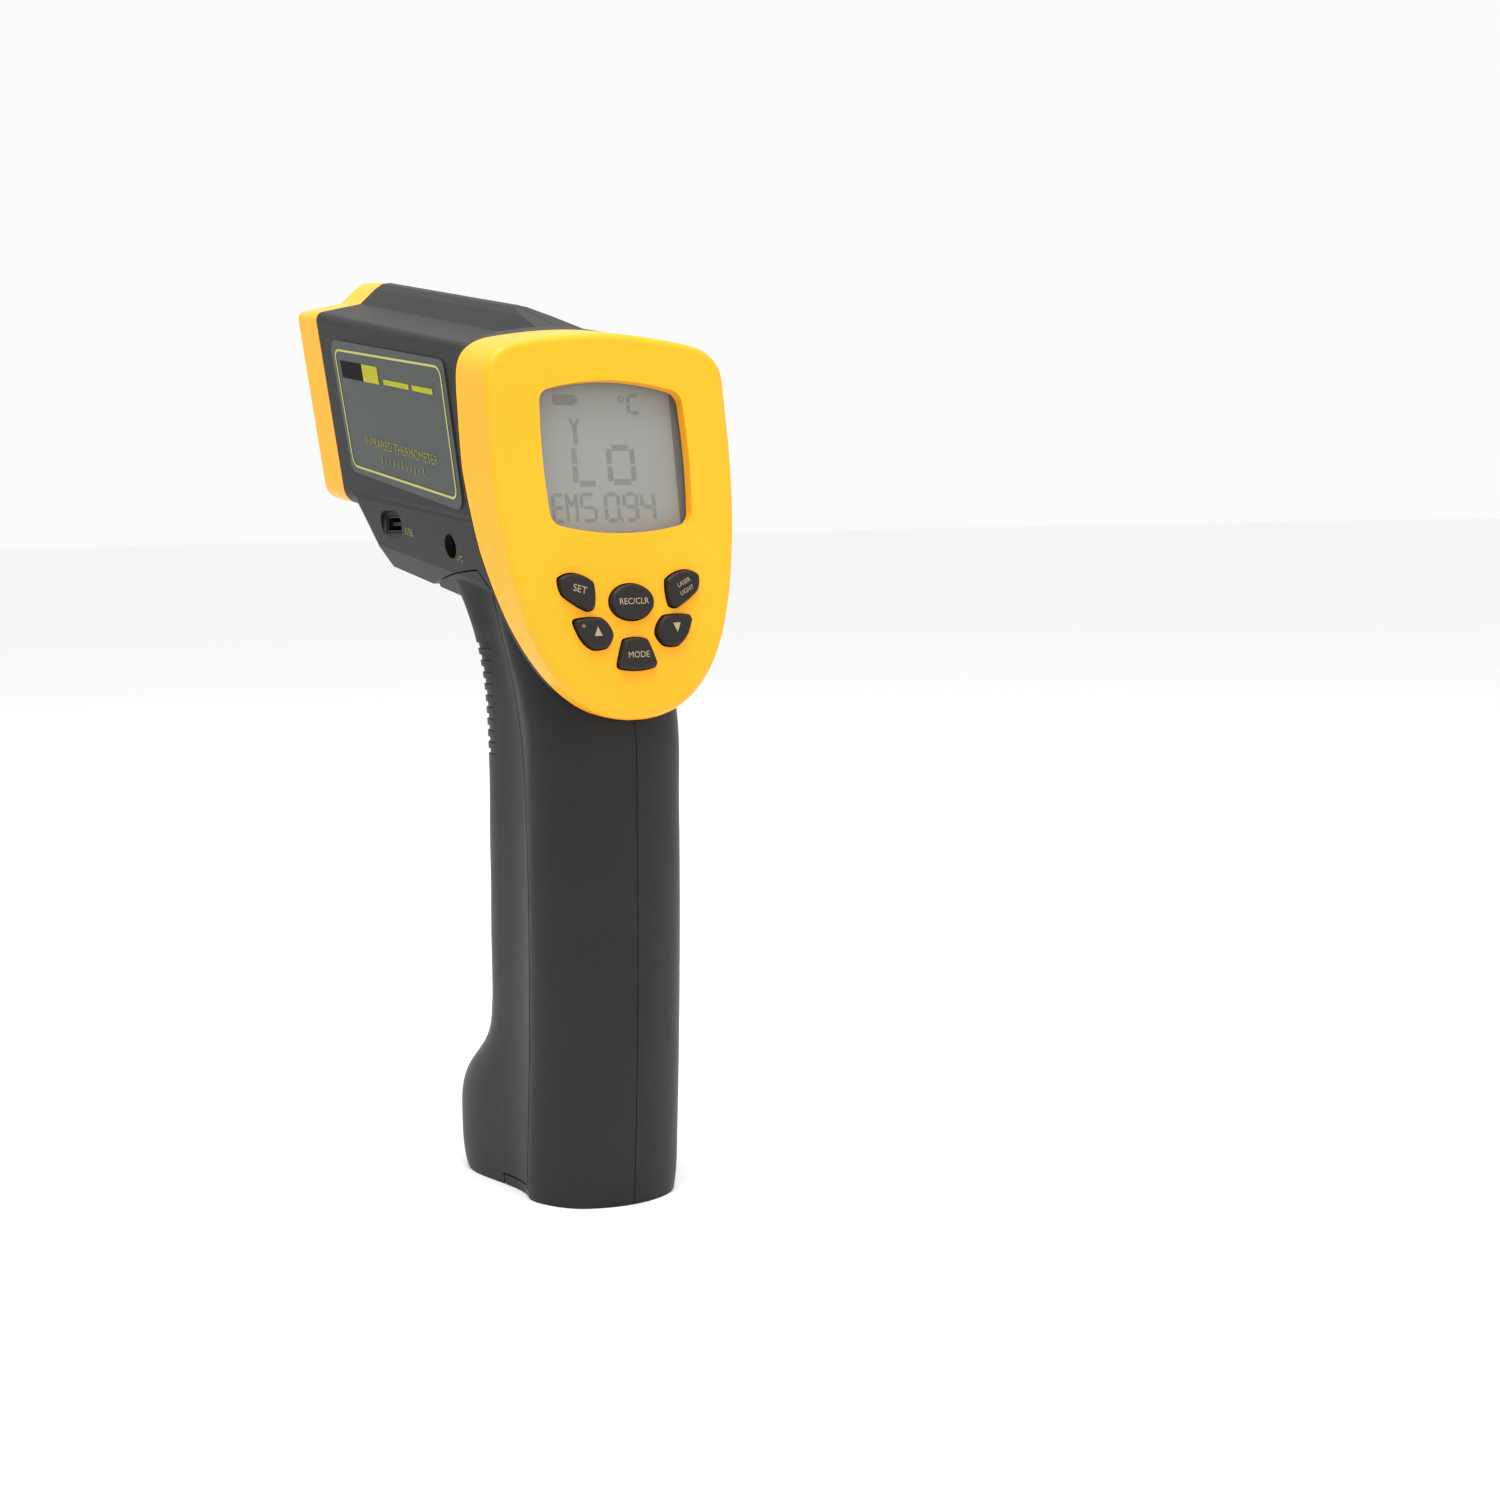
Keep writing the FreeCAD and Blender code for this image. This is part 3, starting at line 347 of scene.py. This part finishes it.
def set_on(piece, at, right, up, out):
    """Puts a flat piece on a plane and leaves it with its origin at the frame's."""
    piece.matrix_world = Matrix(((right.x, up.x, out.x, at.x), (right.y, up.y, out.y, at.y),
                                 (right.z, up.z, out.z, at.z), (0, 0, 0, 1)))
    bpy.ops.object.select_all(action="DESELECT")
    piece.select_set(True)
    bpy.context.view_layer.objects.active = piece
    bpy.ops.object.transform_apply(location=True, rotation=True, scale=True)


def finished(piece, material, body):
    piece.data.materials.clear()
    piece.data.materials.append(material)
    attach(piece, body)


LIT = {"L": "def", "o": "abcdef", "E": "adefg", "S": "acdfg", "0": "abcdef", "9": "abcdfg",
       "4": "bcfg", "C": "adef"}


def digit(letter, x, y, wide, tall, thick):
    """A seven-bar character with its lower left corner at a point, in millimetres."""
    gap = thick * 0.18
    bars = {"a": (0, tall, wide, tall), "g": (0, tall / 2, wide, tall / 2), "d": (0, 0, wide, 0),
            "f": (0, tall / 2, 0, tall), "b": (wide, tall / 2, wide, tall),
            "e": (0, 0, 0, tall / 2), "c": (wide, 0, wide, tall / 2)}
    made = []
    for bar in LIT[letter]:
        xa, ya, xb, yb = bars[bar]
        if bar in "agd":
            xa, xb = xa + gap + thick / 2, xb - gap - thick / 2
        else:
            ya, yb = ya + gap, yb - gap
        made.append(stroke(x + xa, y + ya, x + xb, y + yb, thick))
    return made


lcd = face_top("display_module") + face_out * PROUD
figures = digit("L", -8.4, -5.0, 5.6, 7.8, 1.3) + digit("o", 0.3, -4.7, 5.9, 7.4, 1.3)
figures += digit("E", -14.6, -12.9, 2.8, 5.6, 0.75) + digit("S", -7.6, -12.9, 3.4, 5.6, 0.75)
figures += digit("0", -1.6, -12.9, 3.2, 5.6, 0.9) + digit("9", 3.1, -12.9, 3.1, 5.6, 0.9)
figures += digit("4", 7.6, -12.9, 3.0, 5.6, 0.9) + digit("C", 6.4, 10.2, 3.0, 3.8, 0.8)
figures += [stroke(-11.2, -13.1, -11.2, -7.1, 0.7), stroke(-8.9, -13.1, -8.9, -7.1, 0.7),
            stroke(-11.2, -7.4, -10.05, -9.8, 0.6), stroke(-8.9, -7.4, -10.05, -9.8, 0.6),
            stroke(2.25, -13.2, 2.25, -12.4, 0.8), hoop(4.6, 13.2, 0.8, 0.4),
            stroke(-7.6, 3.4, -7.6, 7.6, 1.0), stroke(-7.6, 7.0, -8.7, 8.9, 0.7),
            stroke(-7.6, 7.0, -6.5, 8.9, 0.7), stroke(-12.4, 12.9, -6.9, 12.9, 2.3),
            stroke(-6.8, 12.9, -6.2, 12.9, 1.2), stroke(-2.7, -16.1, -1.4, -16.1, 0.8)]
figures = joined("display_figures", figures)
set_on(figures, lcd, face_right, face_up, face_out)
segment_grey, parts, wires, shader = new_material("segment_grey", (0.082, 0.087, 0.078), 0.45)
grain(parts, wires, shader, 1200.0, 0.00001, 0.1)
finished(figures, segment_grey, "root")


def rectangle(x, y):
    """The corners of a rectangle about the middle, from its half sizes in metres."""
    return [(-x, -y), (x, -y), (x, y), (-x, y)]


CUT = 0.001                     # depth of the tool that opens the gasket
gasket = plate(rectangle(0.0203, 0.0178))
opening = plate(rectangle(0.0170, 0.0171), CUT)
opening.location.z = -CUT / 2
bpy.context.view_layer.objects.active = gasket
cutter = gasket.modifiers.new("opening", "BOOLEAN")
cutter.object, cutter.operation = opening, "DIFFERENCE"
bpy.ops.object.select_all(action="DESELECT")
gasket.select_set(True)
bpy.ops.object.modifier_apply(modifier="opening")
bpy.data.objects.remove(opening)
gasket.name = "display_gasket"
set_on(gasket, lcd + face_out * PROUD / 2, face_right, face_up, face_out)
finished(gasket, black_moulding, "root")


# ---- key legends --------------------------------------------------------------------------------
# Tan lettering screened on the crowns of the rubber keys; each rides on its own key.
legend_ink, parts, wires, shader = new_material("legend_ink", (0.36, 0.28, 0.17), 0.6)
grain(parts, wires, shader, 2400.0, 0.00002, 0.3)


def arrow(way, x, y):
    """A small solid triangle pointing up or down, in millimetres."""
    half, foot, tip = 0.95, y - way * 0.9, y + way * 1.1
    outline = [(x - half, foot), (x + half, foot), (x, tip)][::way]
    return plate([(a / 1000, b / 1000) for a, b in outline])


def legend(key, pieces):
    made = joined("legend_" + key, pieces)
    set_on(made, face_top("key_" + key) + face_out * PROUD, face_right, face_up, face_out)
    finished(made, legend_ink, key + "_key_body")


legend("set", [words("SET", 2.2, 0.2, 0.5, -16)])
legend("laser", [words("LASER", 1.35, -0.2, 1.2, 24), words("LIGHT", 1.35, 0.4, -0.5, 24)])
legend("record", [words("REC/CLR", 1.9)])
legend("up", [arrow(1, 0.5, 0.3), words("*", 2.0, -2.9, 1.2)])
legend("down", [arrow(-1, 0.2, 0.6)])
legend("mode", [words("MODE", 1.9, 0.0, -0.3)])


# ---- side labels ----------------------------------------------------------------------------------
# Two printed polyester films set in the sides of the barrel: a dark grey ground with a
# yellow-green line round it.
label_film, parts, wires, shader = new_material("label_film", (0.054, 0.063, 0.058), 0.42)
place = grain(parts, wires, shader, 1900.0, 0.00003, 0.3)
mottle(parts, wires, shader, place, 40.0, (0.050, 0.059, 0.054), (0.058, 0.067, 0.062), 0.38, 0.48)
for name in ("label_left", "label_right"):
    finish_node(name, label_film)

label_ink, parts, wires, shader = new_material("label_ink", (0.42, 0.41, 0.12), 0.5)
grain(parts, wires, shader, 2400.0, 0.00002, 0.3)
label_bright, parts, wires, shader = new_material("label_bright", (0.70, 0.66, 0.05), 0.45)
grain(parts, wires, shader, 2400.0, 0.00002, 0.3)


WIDE, TALL = 55.0, 30.0         # the rectangle the artwork is drawn in, millimetres
BESIDE = 0.03                   # distance from the middle plane that artwork drops in from
PRINT_LIFT = 0.00012            # how far print stands off the curved side


def corners_of(name, side):
    """A label's corners as its viewer sees them: lower left and right, upper right and left."""
    spots = [nodes[name].matrix_world @ v.co for v in nodes[name].data.vertices]
    reach = [(side, -1), (-side, -1), (-side, 1), (side, 1)]
    return [max(spots, key=lambda p: p.x * a + p.z * b) for a, b in reach]


def laid(piece, name, side):
    """Lays flat artwork, drawn in a rectangle of the label's size, on the side of a CAD node."""
    corners = corners_of(name, side)
    for vertex in piece.data.vertices:
        s, t = vertex.co.x * 1000 / WIDE, vertex.co.y * 1000 / TALL
        low_edge = corners[0].lerp(corners[1], s)
        spot = low_edge.lerp(corners[3].lerp(corners[2], s), t)
        vertex.co = (spot.x, side * BESIDE, spot.z)
    wrapped(piece, nodes[name], side)


def wrapped(piece, target, side):
    """Drops a piece sideways on to a CAD node's surface."""
    bpy.ops.object.select_all(action="DESELECT")
    piece.select_set(True)
    bpy.context.view_layer.objects.active = piece
    wrap = piece.modifiers.new("wrap", "SHRINKWRAP")
    wrap.target, wrap.wrap_method, wrap.offset = target, "PROJECT", PRINT_LIFT
    wrap.use_project_y, wrap.use_project_x, wrap.use_project_z = True, False, False
    wrap.use_negative_direction, wrap.use_positive_direction = side > 0, side < 0
    bpy.ops.object.modifier_apply(modifier="wrap")


def border():
    """The line that runs round a label just inside its edge."""
    inset, radius, line = 0.9, 2.4, 0.55
    bpy.ops.object.select_all(action="DESELECT")
    bpy.ops.mesh.primitive_plane_add(size=0.001)
    made = bpy.context.object
    x0, x1, y0, y1 = inset / 1000, (WIDE - inset) / 1000, inset / 1000, (TALL - inset) / 1000
    for vertex in made.data.vertices:
        vertex.co = (x1 if vertex.co.x > 0 else x0, y1 if vertex.co.y > 0 else y0, 0)
    bpy.ops.object.mode_set(mode="EDIT")
    bpy.ops.mesh.select_all(action="SELECT")
    bpy.ops.mesh.bevel(offset=radius / 1000, segments=6, affect="VERTICES")
    bpy.ops.mesh.select_all(action="SELECT")
    bpy.ops.mesh.inset(thickness=line / 1000)
    bpy.ops.mesh.delete(type="FACE")
    bpy.ops.mesh.select_all(action="SELECT")
    bpy.ops.mesh.subdivide(number_cuts=3)
    bpy.ops.object.mode_set(mode="OBJECT")
    return made


art = [border(), words("INFRARED THERMOMETER", 3.1, 28.5, 8.2)]
for i in range(11):
    tick, top = 18.0 + i * 2.1, 5.2 + 0.7 * (i % 5 == 0)
    art.append(stroke(tick, 4.0, tick, top, 0.4))
art = joined("label_left_print", art)
laid(art, "label_left", 1)
finished(art, label_ink, "root")

mark = joined("label_left_block", [stroke(3.4, 24.4, 14.6, 24.4, 4.0)])
laid(mark, "label_left", 1)
finished(mark, black_moulding, "root")
mark = [stroke(14.6, 24.4, 22.6, 24.4, 4.0), stroke(25.0, 23.2, 37.5, 23.2, 1.2),
        stroke(39.2, 23.2, 49.0, 23.2, 1.2)]
mark = joined("label_left_mark", mark)
laid(mark, "label_left", 1)
finished(mark, label_bright, "root")

art = [border()]
art += [stroke(*ends, 0.45) for ends in (
    (9.6, 22.4, 18.2, 22.4), (9.6, 22.4, 8.6, 19.6), (8.6, 19.6, 8.2, 10.4),
    (8.2, 10.4, 12.4, 10.4), (12.4, 10.4, 12.6, 18.2), (12.6, 18.2, 17.2, 19.4),
    (17.2, 19.4, 18.2, 22.4), (10.6, 12.0, 10.8, 18.6))]
art += [stroke(*ends, 0.22) for ends in ((18.4, 21.6, 44.6, 24.8), (18.4, 21.2, 44.6, 20.8))]
MUZZLE, AXIS_SLOPE = (18.4, 21.4), 0.054        # where the drawn beam starts, and its rise
for x, radius in ((27.6, 0.95), (35.2, 1.4), (43.2, 1.9)):
    middle = MUZZLE[1] + (x - MUZZLE[0]) * AXIS_SLOPE
    art += [hoop(x, middle, radius, 0.3), stroke(x, middle - 3.4, x, middle + 3.2, 0.2),
            stroke(x - 2.4, middle + 4.2, x + 2.4, middle + 4.2, 0.55),
            stroke(x - 1.9, middle - 4.4, x + 1.9, middle - 4.4, 0.9)]
art += [stroke(9.6, 25.6, 16.6, 25.6, 0.7)]
art += [stroke(20.6, y, 20.6 + long, y, 0.7) for y, long in ((9.2, 14.0), (7.0, 21.5), (4.8, 20.0))]
art = joined("label_right_print", art)
laid(art, "label_right", -1)
finished(art, label_ink, "root")

mark = joined("label_right_mark", [stroke(5.6, 5.8, 17.4, 5.8, 2.2), hoop(46.6, 7.0, 2.2, 0.5),
                                   stroke(11.2, 21.2, 16.6, 21.2, 1.3)])
laid(mark, "label_right", -1)
finished(mark, label_bright, "root")


# ---- marks by the sockets ----------------------------------------------------------------------
# Small screened words on the left of the throat, one beside each socket.
def side_mark(text, node, size, right_by, up_by):
    lower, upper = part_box(node)
    made = joined("mark_" + node, [words(text, size)])
    slope = math.radians(9.5)       # the words run along the barrel's lower edge
    along = Vector((-math.cos(slope), 0, -math.sin(slope)))
    rise_by = Vector((-math.sin(slope), 0, math.cos(slope)))
    middle = Vector(((lower[0] + upper[0]) / 2, BESIDE, (lower[2] + upper[2]) / 2))
    spot = middle + along * right_by + rise_by * up_by
    set_on(made, spot, along, rise_by, Vector((0, 1, 0)))
    wrapped(made, nodes["left_shell"], 1)
    finished(made, label_ink, "root")


side_mark("USB", "usb_socket", 2.4, 0.0096, -0.0004)
side_mark("DC", "power_socket", 1.9, 0.0046, -0.0020)
